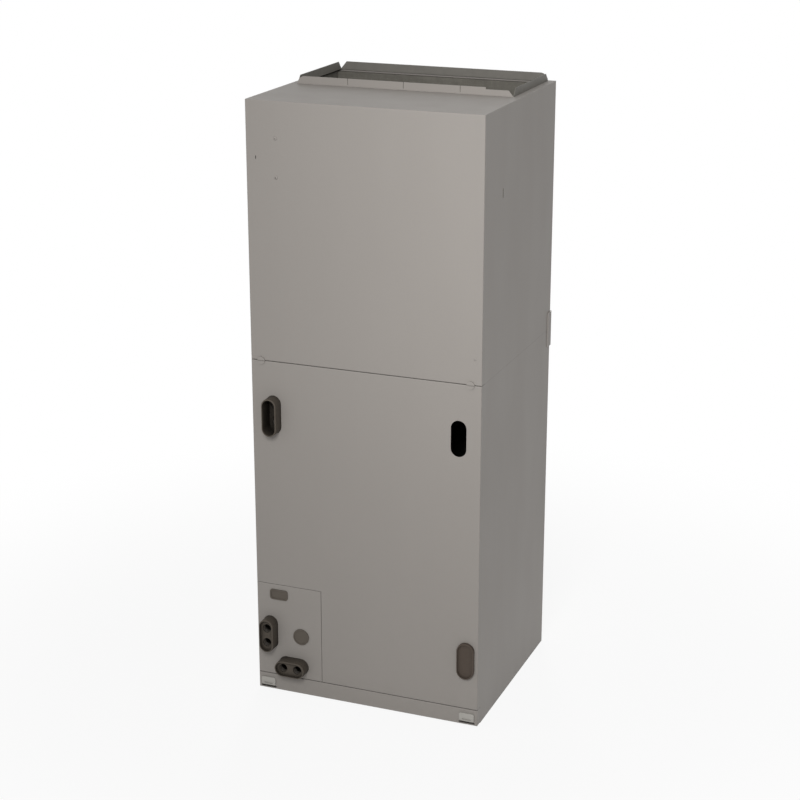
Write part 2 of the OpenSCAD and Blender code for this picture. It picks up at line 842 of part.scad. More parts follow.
// Forward-curved blade in side view: it starts along the radius and ends along the wheel's rim
module blade() {
    arc_r = blade_depth * 0.85;
    translate([inlet_r + blade_depth / 20, arc_r]) intersection() {
        difference() {
            circle(arc_r);
            circle(arc_r - blade_t);
        }
        translate([0, -arc_r]) square(arc_r);
    }
}

module blower_wheel() {
    half = housing_w / 2 - wheel_gap;
    plate_r = wheel_r - blade_depth / 10;
    color(galvanized) translate([0, shaft_y, shaft_z]) difference() {
        union() {
            for (i = [0 : blades - 1]) side_extrude(-half, half) rotate(i * 360 / blades) blade();
            for (x = [-half, half - ring_w]) side_extrude(x, x + ring_w) difference() {
                circle(wheel_r);
                circle(inlet_r);
            }
            side_extrude(-blade_t, blade_t) circle(plate_r);
            side_extrude(-blade_t, hub_len) circle(hub_r);
        }
        side_extrude(-half, half) circle(shaft_r + fit);
    }
}

module blower_motor() {
    cap_r = motor_r * 0.62;
    color(black_plastic) translate([0, shaft_y, shaft_z]) {
        side_extrude(-motor_gap - motor_len, -motor_gap - motor_cap) circle(motor_r);
        side_extrude(-motor_gap - motor_cap, -motor_gap) circle(cap_r);
        side_extrude(-motor_gap, hub_len + shaft_over) circle(shaft_r);
    }
}

// Belly band round the motor with three arms on the housing's inlet side
module motor_bracket() {
    half = housing_w / 2;
    hole_r = motor_r + fit;
    color(galvanized) translate([0, shaft_y, shaft_z]) {
        side_extrude(-half - band_t, -half) difference() {
            union() {
                circle(hole_r + band_t);
                for (a = [90, 210, 330]) rotate(a) translate([0, -arm_w / 2])
                    square([inlet_r + arm_lap, arm_w]);
            }
            circle(hole_r);
        }
        side_extrude(-half - band_w, -half - band_t) difference() {
            circle(hole_r + band_t);
            circle(hole_r);
        }
    }
}

// Leaning slab of the coil
module coil_slab(side) {
    color(galvanized) mirror([side < 0 ? 1 : 0, 0, 0])
        translate([coil_foot_x, coil_y0, pan_floor]) rotate([0, -coil_lean, 0])
        cube([coil_t, coil_y1 - coil_y0, coil_len]);
}

module coil_slab_left() {
    coil_slab(-1);
}

module coil_slab_right() {
    coil_slab(1);
}

// Sheet that closes an end of the coil between the slabs
module coil_plate(y) {
    lap = coil_t * 0.6;
    foot_z = pan_z + pan_curb + plate_gap;
    head_z = coil_top - coil_t * sin(coil_lean);
    color(galvanized) front_extrude(y, y + sheet_t) polygon([
        [-coil_foot_x - lap, foot_z], [coil_foot_x + lap, foot_z],
        [coil_head_x + lap, head_z], [-coil_head_x - lap, head_z]
    ]);
}

module coil_front_plate() {
    coil_plate(coil_y0 - sheet_t);
}

module coil_rear_plate() {
    coil_plate(coil_y1);
}

module coil_cap() {
    half = coil_head_x + coil_t * cos(coil_lean);
    color(galvanized) block(-half, coil_y0, coil_top, half, coil_y1, coil_top + sheet_t);
}

module filter_frame() {
    color("tan") translate([0, 0, base_h]) linear_extrude(height = filter_t) difference() {
        rect(-filter_x, filter_y0, filter_x, filter_y1);
        rect(-filter_x + filter_border, filter_y0 + filter_border,
            filter_x - filter_border, filter_y1 - filter_border);
    }
}

module filter_media() {
    width = 2 * (filter_x - filter_border);
    low = zigzag(width, filter_t - 2 * pleat_t, pleats);
    last = len(low) - 1;
    high = [for (i = [0 : last]) low[last - i] + [0, pleat_t]];
    color("whitesmoke") translate([0, 0, base_h + pleat_t / 2])
        front_extrude(filter_y0 + filter_border, filter_y1 - filter_border) polygon(concat(low, high));
}

upper_cabinet();
lower_cabinet();
top_panel();
base_frame();
center_rail();
blower_access_panel();
coil_access_panel();
fitting_panel();
filter_door();
panel_latch_left();
panel_latch_right();
filter_door_clip_left();
filter_door_clip_right();
rear_bracket_left();
rear_bracket_right();
suction_line_plug();
liquid_line_plug();
right_drain_plug();
side_drain_pan();
bottom_drain_pan();
low_drain_spout();
pan_rail_left();
pan_rail_right();
upper_insulation();
lower_insulation();
plenum_divider();
blower_deck();
blower_housing();
blower_wheel();
blower_motor();
motor_bracket();
coil_slab_left();
coil_slab_right();
coil_front_plate();
coil_rear_plate();
coil_cap();
filter_frame();
filter_media();
filter_rail_left();
filter_rail_right();
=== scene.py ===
"""Looks of an upright air handling unit: painted sheet, moulded drains, lined plenum, studio and camera."""

import logging
import math
from abc import ABC, abstractmethod
from dataclasses import dataclass, replace
from enum import Enum
from typing import ClassVar, Optional, Sequence, Union

import bmesh
import bpy
from mathutils import Matrix, Vector


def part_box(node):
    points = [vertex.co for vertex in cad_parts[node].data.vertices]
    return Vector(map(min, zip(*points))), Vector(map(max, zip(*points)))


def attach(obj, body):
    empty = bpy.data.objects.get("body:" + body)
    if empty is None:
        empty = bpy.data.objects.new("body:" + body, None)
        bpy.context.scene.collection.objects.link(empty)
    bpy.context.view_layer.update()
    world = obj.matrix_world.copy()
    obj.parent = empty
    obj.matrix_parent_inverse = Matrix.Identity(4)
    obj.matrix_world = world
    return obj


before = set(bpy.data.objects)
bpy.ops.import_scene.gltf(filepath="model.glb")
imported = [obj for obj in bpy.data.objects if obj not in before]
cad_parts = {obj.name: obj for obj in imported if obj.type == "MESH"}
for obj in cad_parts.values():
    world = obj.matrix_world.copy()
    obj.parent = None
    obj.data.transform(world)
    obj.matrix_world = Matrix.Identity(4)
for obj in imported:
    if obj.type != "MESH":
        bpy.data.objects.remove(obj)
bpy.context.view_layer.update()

log = logging.getLogger("air_handler")

Triple = tuple[float, float, float]
Color = Triple
Span = tuple[float, float]
Term = Union["Wire", float]
SocketKey = Union[int, str]
SocketValue = Union["Wire", float, Triple]

MM = 0.001
BODY = "root"
SPECULAR = "Specular IOR Level"
EVEN: Triple = (1.0, 1.0, 1.0)
WHITE: Color = (1.0, 1.0, 1.0)
NOISE_MIDDLE = 0.5
WAVE_RADIANS = 20.0  # how far a wave texture of scale 1 turns in one metre
FEELER_RAYS = 6
CROSS_WAIST = 0.42
CROSS_SHARPNESS = 5

# Sockets of a Mix node that blends colours, by place because their names repeat
MIX_FACTOR = 0
MIX_FIRST = 6
MIX_SECOND = 7
MIX_RESULT = 2


def srgb(red: int, green: int, blue: int) -> Color:
    """Turn a screen colour into a linear one.

    Args:
        red: Red from 0 to 255.
        green: Green from 0 to 255.
        blue: Blue from 0 to 255.

    Returns:
        The linear colour that shaders use.
    """
    parts = [value / 255 for value in (red, green, blue)]
    linear = [p / 12.92 if p <= 0.04045 else ((p + 0.055) / 1.055) ** 2.4 for p in parts]
    return linear[0], linear[1], linear[2]


class Axis(Enum):
    """Axis of the unit's frame."""

    X = "X"
    Y = "Y"
    Z = "Z"


@dataclass(frozen=True)
class Cloud:
    """Cloudy pattern and what its swing does to a surface.

    Its size and depth are in metres, and its stretch is under 1 along an axis where the cloud is longer.
    """

    size: float
    octaves: float
    stretch: Triple = EVEN
    tone: float = 0.0
    roughness: float = 0.0
    depth: float = 0.0


class Wire:
    """One output socket of a shader tree; arithmetic on it adds Math nodes."""

    def __init__(self, bench: "ShaderBench", socket: Optional[bpy.types.NodeSocket]) -> None:
        """Keep the socket and the bench that it belongs to."""
        self.bench = bench
        self.socket = socket

    def _math(self, operation: str, first: Term, second: Term) -> "Wire":
        """Result of one Math node."""
        return self.bench.add("ShaderNodeMath", {"operation": operation}, {0: first, 1: second})

    def __add__(self, other: Term) -> "Wire":
        """Sum."""
        return self._math("ADD", self, other)

    __radd__ = __add__

    def __sub__(self, other: Term) -> "Wire":
        """Difference."""
        return self._math("SUBTRACT", self, other)

    def __rsub__(self, other: Term) -> "Wire":
        """Difference with the wire on the right."""
        return self._math("SUBTRACT", other, self)

    def __mul__(self, other: Term) -> "Wire":
        """Product."""
        return self._math("MULTIPLY", self, other)

    __rmul__ = __mul__

    def widest(self, other: Term) -> "Wire":
        """Larger of two values."""
        return self._math("MAXIMUM", self, other)

    def ramp(self, low: float, high: float) -> "Wire":
        """Smooth step from 0 at the low value to 1 at the high one."""
        limits = {"Value": self, "From Min": low, "From Max": high}
        return self.bench.add("ShaderNodeMapRange", {"interpolation_type": "SMOOTHSTEP"}, limits)


class ShaderBench:
    """Adds nodes to one shader tree."""

    def __init__(self, tree: bpy.types.NodeTree) -> None:
        """Start on an empty tree."""
        self.tree = tree
        tree.nodes.clear()

    def add(
        self,
        kind: str,
        settings: Optional[dict[str, object]] = None,
        sockets: Optional[dict[SocketKey, SocketValue]] = None,
        out: SocketKey = 0,
    ) -> Wire:
        """Add one node.

        Args:
            kind: Blender's name of the node type.
            settings: Properties of the node, set before its sockets.
            sockets: Values or wires for its inputs, by place or name.
            out: Output that the wire carries, by place or name.

        Returns:
            That output, or an empty wire from a node that ends the tree.
        """
        node = self.tree.nodes.new(kind)
        for name, value in (settings or {}).items():
            setattr(node, name, value)
        for key, value in (sockets or {}).items():
            socket = node.inputs[key]
            if isinstance(value, Wire):
                self.tree.links.new(value.socket, socket)
            elif socket.type == "RGBA":
                socket.default_value = (*value, 1.0)
            else:
                socket.default_value = value
        return Wire(self, node.outputs[out] if node.outputs else None)

    def place(self, stretch: Triple = EVEN) -> Wire:
        """Position on the unit.

        Args:
            stretch: Factor along X, Y and Z.

        Returns:
            The position in metres, stretched.
        """
        spot = self.add("ShaderNodeTexCoord", {}, {}, "Object")
        if stretch == EVEN:
            return spot
        return self.add("ShaderNodeVectorMath", {"operation": "MULTIPLY"}, {0: spot, 1: stretch})

    def part(self, vector: Wire, axis: Axis) -> Wire:
        """Part of a vector along one axis."""
        return self.add("ShaderNodeSeparateXYZ", {}, {"Vector": vector}, axis.value)

    def position(self, axis: Axis) -> Wire:
        """Position along one axis in metres."""
        return self.part(self.place(), axis)

    def noise(self, cloud: Cloud) -> Wire:
        """Cloudy pattern with values round its middle."""
        sockets = {"Vector": self.place(cloud.stretch), "Scale": 1 / cloud.size, "Detail": cloud.octaves}
        return self.add("ShaderNodeTexNoise", {}, sockets, "Fac")

    def swing(self, cloud: Cloud) -> Wire:
        """Cloudy pattern with values round 0."""
        return self.noise(cloud) - NOISE_MIDDLE

    def weave(self, clouds: Sequence[Cloud], tone: float, roughness: float) -> tuple[Term, Term, Term]:
        """Lay several clouds over one another.

        Args:
            clouds: The clouds.
            tone: Tone where each cloud is at its middle.
            roughness: Roughness there.

        Returns:
            The tone, the roughness and the relief in metres.
        """
        sums: list[Term] = [tone, roughness, 0.0]
        for cloud in clouds:
            swing = self.swing(cloud)
            for index, strength in enumerate((cloud.tone, cloud.roughness, cloud.depth)):
                if strength:
                    sums[index] = sums[index] + swing * strength
        return sums[0], sums[1], sums[2]

    def lines(self, pitch: float, axis: Axis) -> Wire:
        """Straight ridges.

        Args:
            pitch: Distance between ridges in metres.
            axis: Axis across the ridges.

        Returns:
            A value from 0 in the grooves to 1 on the ridges.
        """
        settings = {"bands_direction": axis.value, "wave_profile": "SIN"}
        sockets = {"Vector": self.place(), "Scale": math.tau / (WAVE_RADIANS * pitch)}
        return self.add("ShaderNodeTexWave", settings, sockets, "Fac")

    def cells(self, size: float) -> Wire:
        """Crystals.

        Args:
            size: Width of one crystal in metres.

        Returns:
            A random value for each crystal, from 0 to 1.
        """
        sockets = {"Vector": self.place(), "Scale": 1 / size}
        tint = self.add("ShaderNodeTexVoronoi", {}, sockets, "Color")
        return self.part(tint, Axis.X)

    def edge(self, reach: float, gate: Span = (0.02, 0.25)) -> Wire:
        """Bent and cut edges.

        Args:
            reach: Distance from the edge in metres.
            gate: Bend of the surface at which the edge starts and is full.

        Returns:
            0 on a flat face, up to 1 at an edge.
        """
        soft = self.add("ShaderNodeBevel", {"samples": FEELER_RAYS}, {"Radius": reach}, "Normal")
        flat = self.add("ShaderNodeNewGeometry", {}, {}, "True Normal")
        dot = self.add("ShaderNodeVectorMath", {"operation": "DOT_PRODUCT"}, {0: soft, 1: flat}, "Value")
        return (1 - dot).ramp(*gate)

    def openness(self, reach: float) -> Wire:
        """Open share of the space in front of a surface, within a reach in metres."""
        return self.add("ShaderNodeAmbientOcclusion", {"samples": FEELER_RAYS}, {"Distance": reach}, "AO")

    def upward(self) -> Wire:
        """How far a face looks up, from -1 to 1."""
        normal = self.add("ShaderNodeNewGeometry", {}, {}, "Normal")
        return self.part(normal, Axis.Z)

    def shows_backdrop(self) -> Wire:
        """Rays that see the white studio.

        Returns:
            1 for a ray from the camera, off a shiny surface or through a clear one, 0 for soft light.
        """
        camera = self.add("ShaderNodeLightPath", {}, {}, "Is Camera Ray")
        shiny = self.add("ShaderNodeLightPath", {}, {}, "Is Glossy Ray")
        through = self.add("ShaderNodeLightPath", {}, {}, "Is Transmission Ray")
        return camera.widest(shiny).widest(through)

    def scaled(self, color: SocketValue, factor: Term) -> Wire:
        """Colour made lighter or darker by a factor."""
        return self.add("ShaderNodeVectorMath", {"operation": "SCALE"}, {0: color, "Scale": factor})

    def mix(self, factor: Term, first: SocketValue, second: SocketValue) -> Wire:
        """Blend of two colours, by the share of the second one."""
        sockets = {MIX_FACTOR: factor, MIX_FIRST: first, MIX_SECOND: second}
        return self.add("ShaderNodeMix", {"data_type": "RGBA"}, sockets, MIX_RESULT)

    def surface(
        self,
        base: SocketValue,
        roughness: Term,
        relief: Term,
        constants: Optional[dict[SocketKey, SocketValue]] = None,
    ) -> None:
        """Close the tree with one surface shader.

        Args:
            base: Colour of the surface.
            roughness: Roughness of the surface.
            relief: Height of the surface in metres.
            constants: Other sockets, each the same all over.
        """
        height = {"Strength": 1.0, "Distance": 1.0, "Height": relief}
        normal = self.add("ShaderNodeBump", {}, height, "Normal")
        sockets = {"Base Color": base, "Roughness": roughness, "Normal": normal, **(constants or {})}
        shader = self.add("ShaderNodeBsdfPrincipled", {}, sockets, "BSDF")
        self.add("ShaderNodeOutputMaterial", {}, {"Surface": shader})


class Finish(ABC):
    """Finish of a surface, built once as a material."""

    name: str
    shelf: ClassVar[dict[str, bpy.types.Material]] = {}

    @abstractmethod
    def lay(self, bench: ShaderBench) -> None:
        """Add the finish's nodes to a tree."""

    def material(self) -> bpy.types.Material:
        """Material of this finish.

        Returns:
            The material, made on the first call and then kept on the shelf.
        """
        if self.name not in self.shelf:
            made = bpy.data.materials.new(self.name)
            made.use_nodes = True
            self.lay(ShaderBench(made.node_tree))
            self.shelf[self.name] = made
        return self.shelf[self.name]


@dataclass(frozen=True)
class PowderCoat(Finish):
    """Satin powder coat on rolled sheet, rubbed at its edges, darker towards the bottom, with painted shade
    in its joints and creases.
    """

    name: str
    color: Color
    rubbed: Color
    # Darker colour that the paint takes on towards the bottom.
    dusty: Color = srgb(112, 106, 98)
    roughness: float = 0.5
    specular: float = 0.22
    drift: Cloud = Cloud(0.45, 3.0, tone=0.05)
    grain: Cloud = Cloud(0.0022, 2.0, tone=0.05, roughness=0.08)
    smear: Cloud = Cloud(0.07, 4.0, (1.0, 1.0, 0.22), tone=0.03, roughness=0.18)
    peel: Cloud = Cloud(0.004, 1.0, depth=0.000016)
    wave: Cloud = Cloud(0.30, 0.0, depth=0.0007)
    flake: Cloud = Cloud(0.018, 5.0)
    flake_gate: Span = (0.38, 0.66)
    rub_reach: float = 0.0022
    rub_share: float = 0.5
    # Towards the bottom the paint turns to a darker, mottled colour.
    dust: Cloud = Cloud(0.03, 5.0)
    foot_fade_height: float = 0.10
    dust_share: float = 0.16
    # Painted shade: the paint is darkened where little open space lies in front of it, in joints, creases and
    # corners.
    shade_reach: float = 0.004
    shade_gate: Span = (0.15, 0.75)
    shade_share: float = 0.6

    def mark(self, bench: ShaderBench, paint: Wire, relief: Term) -> tuple[Wire, Term]:
        """Colour and relief with what the sheet has beside its paint, here nothing."""
        return paint, relief

    def lay(self, bench: ShaderBench) -> None:
        """Add the finish's nodes.

        Args:
            bench: Tree that gets the nodes.
        """
        clouds = [self.drift, self.grain, self.smear, self.peel, self.wave]
        tone, roughness, relief = bench.weave(clouds, 1.0, self.roughness)
        worn = bench.edge(self.rub_reach) * bench.noise(self.flake).ramp(*self.flake_gate)
        painted = bench.mix(worn * self.rub_share, bench.scaled(self.color, tone), self.rubbed)
        # Darker, mottled colour towards the bottom of the unit.
        low = 1.0 - bench.position(Axis.Z).ramp(0.0, self.foot_fade_height)
        foot_darkened = bench.mix(low * bench.noise(self.dust) * self.dust_share, painted, self.dusty)
        # Painted shade in joints and creases: the paint darkens where the open space around it is small.
        painted_shade = 1.0 - bench.openness(self.shade_reach).ramp(*self.shade_gate)
        shaded_paint = bench.scaled(foot_darkened, 1.0 - painted_shade * self.shade_share)
        color, relief = self.mark(bench, shaded_paint, relief)
        bench.surface(color, roughness, relief, {SPECULAR: self.specular})


@dataclass(frozen=True)
class JointedCoat(PowderCoat):
    """Powder coat on two boxes that butt at one height, with the dark line of their joint."""

    joint_z: float = 0.0
    joint_w: float = 0.0016
    joint_depth: float = 0.0003
    joint_share: float = 0.35
    shadow: Color = srgb(58, 54, 50)

    def mark(self, bench: ShaderBench, paint: Wire, relief: Term) -> tuple[Wire, Term]:
        """Draw the joint.

        Args:
            bench: Tree that gets the nodes.
            paint: Colour of the paint.
            relief: Relief of the paint in metres.

        Returns:
            The colour and the relief with the joint.
        """
        rise = bench.position(Axis.Z) - self.joint_z
        line = 1.0 - rise.widest(0.0 - rise).ramp(0.0, self.joint_w / 2)
        return bench.mix(line * self.joint_share, paint, self.shadow), relief - line * self.joint_depth


@dataclass(frozen=True)
class BackedCoat(PowderCoat):
    """Powder coat on one side of a sheet, with the dull backing coat inside a collar."""

    backing: Color = srgb(117, 114, 108)
    collar_low: Triple = (0.0, 0.0, 0.0)
    collar_high: Triple = (0.0, 0.0, 0.0)
    sheet: float = 1.2 * MM
    fade: Span = (-0.9 * MM, -0.3 * MM)
    stain: Cloud = Cloud(0.02, 5.0, tone=0.28)

    def mark(self, bench: ShaderBench, paint: Wire, relief: Term) -> tuple[Wire, Term]:
        """Lay the backing coat inside the collar, and the same dull colour on both sides of its two short
        walls.

        Args:
            bench: Tree that gets the nodes.
            paint: Colour of the paint.
            relief: Relief of the paint in metres.

        Returns:
            The colour with the backing coat, and the relief as it is.
        """
        across, deep = bench.position(Axis.X), bench.position(Axis.Y)
        # Widened by one sheet, so the outer faces of the two short walls take the dull, darker colour too.
        beyond_x = (self.collar_low[0] - across).widest(across - self.collar_high[0]) - self.sheet
        beyond_y = (self.collar_low[1] - deep).widest(deep - self.collar_high[1])
        inside = 1.0 - beyond_x.widest(beyond_y).ramp(*self.fade)
        tone = 1.0 + bench.swing(self.stain) * self.stain.tone
        return bench.mix(inside, paint, bench.scaled(self.backing, tone)), relief


@dataclass(frozen=True)
class ZincCoat(Finish):
    """Hot-dip zinc with its crystal spangle and rolling streaks."""

    name: str
    color: Color
    tone: float = 0.84
    roughness: float = 0.36
    metallic: float = 0.85
    spangle: float = 0.011
    spangle_tone: float = 0.2
    spangle_roughness: float = 0.14
    spangle_depth: float = 0.00001
    streak: Cloud = Cloud(0.006, 3.0, (1.0, 1.0, 0.06), tone=0.1, roughness=0.1, depth=0.00002)
    tarnish: Cloud = Cloud(0.12, 5.0)
    tarnish_gate: Span = (0.5, 0.8)
    tarnish_tone: float = 0.14

    def lay(self, bench: ShaderBench) -> None:
        """Add the finish's nodes.

        Args:
            bench: Tree that gets the nodes.
        """
        crystal = bench.cells(self.spangle)
        tarnish = bench.noise(self.tarnish).ramp(*self.tarnish_gate)
        tone, roughness, relief = bench.weave([self.streak], self.tone, self.roughness)
        tone = tone + crystal * self.spangle_tone - tarnish * self.tarnish_tone
        roughness = roughness + crystal * self.spangle_roughness
        relief = relief + crystal * self.spangle_depth
        bench.surface(bench.scaled(self.color, tone), roughness, relief, {"Metallic": self.metallic})


@dataclass(frozen=True)
class MouldedPlastic(Finish):
    """Moulded plastic or rubber with an etched grain, scuffed pale at its edges, with painted shade darkening
    its hollows.
    """

    name: str
    color: Color
    scuffed: Color
    roughness: float = 0.52
    specular: float = 0.28
    grain: Cloud = Cloud(0.0011, 2.0, tone=0.12, roughness=0.1, depth=0.00003)
    flow: Cloud = Cloud(0.035, 4.0, (1.0, 0.5, 0.4), tone=0.25, roughness=0.22)
    scuff: Cloud = Cloud(0.005, 4.0)
    scuff_gate: Span = (0.35, 0.65)
    scuff_reach: float = 0.0014
    scuff_share: float = 0.55
    # Painted shade: hollows and recesses are darkened, most where little space is open.
    shade_reach: float = 0.03
    shade_share: float = 0.3

    def lay(self, bench: ShaderBench) -> None:
        """Add the finish's nodes.

        Args:
            bench: Tree that gets the nodes.
        """
        tone, roughness, relief = bench.weave([self.grain, self.flow], 1.0, self.roughness)
        # Painted shade darkens the plastic in its hollows and in the mouths of the spouts.
        hollow_shade = 1.0 - bench.openness(self.shade_reach)
        shaded = bench.scaled(self.color, tone * (1.0 - hollow_shade * self.shade_share))
        scuff = bench.edge(self.scuff_reach) * bench.noise(self.scuff).ramp(*self.scuff_gate)
        base = bench.mix(scuff * self.scuff_share, shaded, self.scuffed)
        bench.surface(base, roughness, relief, {SPECULAR: self.specular})


@dataclass(frozen=True)
class FacedFibre(Finish):
    """Faced glass-fibre wall liner, flecked and slightly lumpy."""

    name: str
    color: Color
    flecked: Color
    tone: float = 0.95
    roughness: float = 0.94
    specular: float = 0.2
    along: Cloud = Cloud(0.010, 6.0, (0.22, 1.0, 1.0), tone=0.36, depth=0.0004)
    across: Cloud = Cloud(0.010, 6.0, (1.0, 1.0, 0.22), tone=0.3, depth=0.0004)
    lump: Cloud = Cloud(0.05, 3.0, tone=0.2, depth=0.0015)
    fleck: Cloud = Cloud(0.0035, 2.0)
    fleck_gate: Span = (0.60, 0.70)
    fleck_share: float = 0.4
    fleck_gloss: float = 0.12

    def lay(self, bench: ShaderBench) -> None:
        """Add the finish's nodes.

        Args:
            bench: Tree that gets the nodes.
        """
        tone, roughness, relief = bench.weave([self.along, self.across, self.lump], self.tone, self.roughness)
        fleck = bench.noise(self.fleck).ramp(*self.fleck_gate)
        base = bench.mix(fleck * self.fleck_share, bench.scaled(self.color, tone), self.flecked)
        bench.surface(base, roughness - fleck * self.fleck_gloss, relief, {SPECULAR: self.specular})


@dataclass(frozen=True)
class FilterCard(Finish):
    """Brown card with paper fibres and the flutes of its core."""

    name: str
    color: Color
    frayed: Color = srgb(212, 186, 148)
    tone: float = 0.98
    roughness: float = 0.84
    fibre: Cloud = Cloud(0.004, 6.0, (0.3, 1.0, 1.0), tone=0.24, roughness=0.12, depth=0.00012)
    stain: Cloud = Cloud(0.08, 4.0, tone=0.14)
    fray: Cloud = Cloud(0.008, 4.0)
    fray_reach: float = 0.002
    fray_share: float = 0.5
    flute_pitch: float = 0.006
    flute_depth: float = 0.00006

    def lay(self, bench: ShaderBench) -> None:
        """Add the finish's nodes.

        Args:
            bench: Tree that gets the nodes.
        """
        tone, roughness, relief = bench.weave([self.fibre, self.stain], self.tone, self.roughness)
        worn = bench.edge(self.fray_reach) * bench.noise(self.fray)
        base = bench.mix(worn * self.fray_share, bench.scaled(self.color, tone), self.frayed)
        flute = bench.lines(self.flute_pitch, Axis.X)
        bench.surface(base, roughness, relief + flute * self.flute_depth)


@dataclass(frozen=True)
class FilterFibre(Finish):
    """Pleated synthetic felt with long strands."""

    name: str
    color: Color
    tone: float = 0.97
    roughness: float = 0.9
    felt: Cloud = Cloud(0.003, 8.0, tone=0.24, roughness=0.1, depth=0.0005)
    strand: Cloud = Cloud(0.012, 5.0, (1.0, 0.15, 1.0), tone=0.14, depth=0.0003)
    patch: Cloud = Cloud(0.15, 3.0, tone=0.1)

    def lay(self, bench: ShaderBench) -> None:
        """Add the finish's nodes.

        Args:
            bench: Tree that gets the nodes.
        """
        tone, roughness, relief = bench.weave([self.felt, self.strand, self.patch], self.tone, self.roughness)
        bench.surface(bench.scaled(self.color, tone), roughness, relief)


@dataclass(frozen=True)
class FinStock(Finish):
    """Aluminium fins seen edge on, with combed dents."""

    name: str
    color: Color
    tone: float = 0.3
    roughness: float = 0.425
    metallic: float = 0.9
    pitch: float = 0.0018
    fin_tone: float = 0.7
    fin_depth: float = 0.0006
    dent: Cloud = Cloud(0.03, 5.0, tone=0.2, roughness=0.15, depth=0.0008)

    def lay(self, bench: ShaderBench) -> None:
        """Add the finish's nodes.

        Args:
            bench: Tree that gets the nodes.
        """
        fin = bench.lines(self.pitch, Axis.Y)
        tone, roughness, relief = bench.weave([self.dent], self.tone, self.roughness)
        base = bench.scaled(self.color, tone + fin * self.fin_tone)
        bench.surface(base, roughness, relief + fin * self.fin_depth, {"Metallic": self.metallic})


@dataclass(frozen=True)
class MotorEnamel(Finish):
    """Black enamel with dust on whatever looks up."""

    name: str
    color: Color
    dusty: Color = srgb(120, 114, 104)
    roughness: float = 0.4
    drift: Cloud = Cloud(0.02, 4.0, tone=0.3, roughness=0.12, depth=0.00008)
    dust: Cloud = Cloud(0.01, 5.0)
    dust_gate: Span = (0.3, 0.7)
    dust_slope: Span = (0.2, 1.0)
    dust_share: float = 0.35
    dust_roughness: float = 0.3

    def lay(self, bench: ShaderBench) -> None:
        """Add the finish's nodes.

        Args:
            bench: Tree that gets the nodes.
        """
        tone, roughness, relief = bench.weave([self.drift], 1.0, self.roughness)
        dust = bench.upward().ramp(*self.dust_slope) * bench.noise(self.dust).ramp(*self.dust_gate)
        base = bench.mix(dust * self.dust_share, bench.scaled(self.color, tone), self.dusty)
        bench.surface(base, roughness + dust * self.dust_roughness, relief)


@dataclass(frozen=True)
class StudioGround(Finish):
    """Pale floor that keeps the shadow near the unit and fades to the white of the studio."""

    name: str
    color: Color = (0.82, 0.82, 0.82)
    grain: Cloud = Cloud(0.004, 3.0, tone=0.06)
    near: float = 0.88
    fade: Span = (0.6, 2.0)

    def lay(self, bench: ShaderBench) -> None:
        """Add the finish's nodes.

        Args:
            bench: Tree that gets the nodes.
        """
        tone = 1.0 + bench.swing(self.grain) * self.grain.tone
        matt = bench.add("ShaderNodeBsdfDiffuse", {}, {"Color": bench.scaled(self.color, tone)})
        glow = bench.add("ShaderNodeEmission", {}, {"Color": WHITE, "Strength": 1.0})
        away = bench.add("ShaderNodeVectorMath", {"operation": "LENGTH"}, {0: bench.place()}, "Value")
        share = self.near + (1.0 - self.near) * away.ramp(*self.fade)
        mixed = bench.add("ShaderNodeMixShader", {}, {0: share * bench.shows_backdrop(), 1: matt, 2: glow})
        bench.add("ShaderNodeOutputMaterial", {}, {"Surface": mixed})


def collar_corners(reach: float = 5 * MM) -> tuple[Triple, Triple]:
    """Corners of the duct collar on the roof.

    Args:
        reach: Depth below the roof's highest edge that belongs to the collar.

    Returns:
        The lowest and the highest corner.
    """
    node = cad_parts["top_panel"]
    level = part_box("top_panel")[1].z - reach
    rim = [vertex.co for vertex in node.data.vertices if vertex.co.z > level]
    low = tuple(min(spot[axis] for spot in rim) for axis in range(3))
    high = tuple(max(spot[axis] for spot in rim) for axis in range(3))
    return low, high


PAINT = PowderCoat("satin_powder_coat", srgb(150, 145, 140), srgb(170, 167, 162))
SHEET = JointedCoat(
    "jointed_powder_coat", PAINT.color, PAINT.rubbed, joint_z=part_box("upper_cabinet")[0].z,
)
COLLAR_LOW, COLLAR_HIGH = collar_corners()
ROOF = BackedCoat(
    "backed_powder_coat", PAINT.color, PAINT.rubbed, collar_low=COLLAR_LOW, collar_high=COLLAR_HIGH,
)
ZINC = ZincCoat("spangled_zinc", srgb(190, 192, 194))
SCREW_ZINC = ZincCoat("plated_screw", srgb(176, 174, 168), roughness=0.3, metallic=0.95, spangle=0.0012)
BLACK = MouldedPlastic(
    "spout_plastic", srgb(86, 79, 71), srgb(112, 104, 95),
    # Strong painted shade darkens the spout mouths and hollows.
    specular=0.15, shade_reach=0.065, shade_share=0.98,
)
RUBBER_GRAIN = replace(BLACK.grain, size=0.0014, depth=0.00004)
TAUPE = MouldedPlastic(
    "line_plug_rubber", srgb(90, 83, 75), srgb(124, 116, 106),
    roughness=0.6, grain=RUBBER_GRAIN, flow=replace(BLACK.flow, tone=0.16),
)
BROWN = MouldedPlastic(
    "drain_plug_rubber", srgb(76, 66, 58), srgb(112, 101, 91),
    roughness=0.62, grain=RUBBER_GRAIN, flow=replace(BLACK.flow, tone=0.2),
)
CLIP_GRAIN = replace(BLACK.grain, size=0.001, depth=0.00002)
CLIP = MouldedPlastic(
    "pale_clip_plastic", srgb(172, 169, 163), srgb(192, 189, 184),
    roughness=0.5, grain=CLIP_GRAIN, flow=replace(BLACK.flow, tone=0.08),
)
MOTOR = MotorEnamel("motor_enamel", srgb(52, 52, 54))
LINER = FacedFibre("faced_fibre_liner", srgb(107, 104, 97), srgb(142, 138, 127))
CARD = FilterCard("brown_card", srgb(190, 160, 120))
FELT = FilterFibre("pleated_felt", srgb(222, 222, 220))
FINS = FinStock("fin_stock", srgb(214, 216, 218))
GROUND = StudioGround("studio_ground")


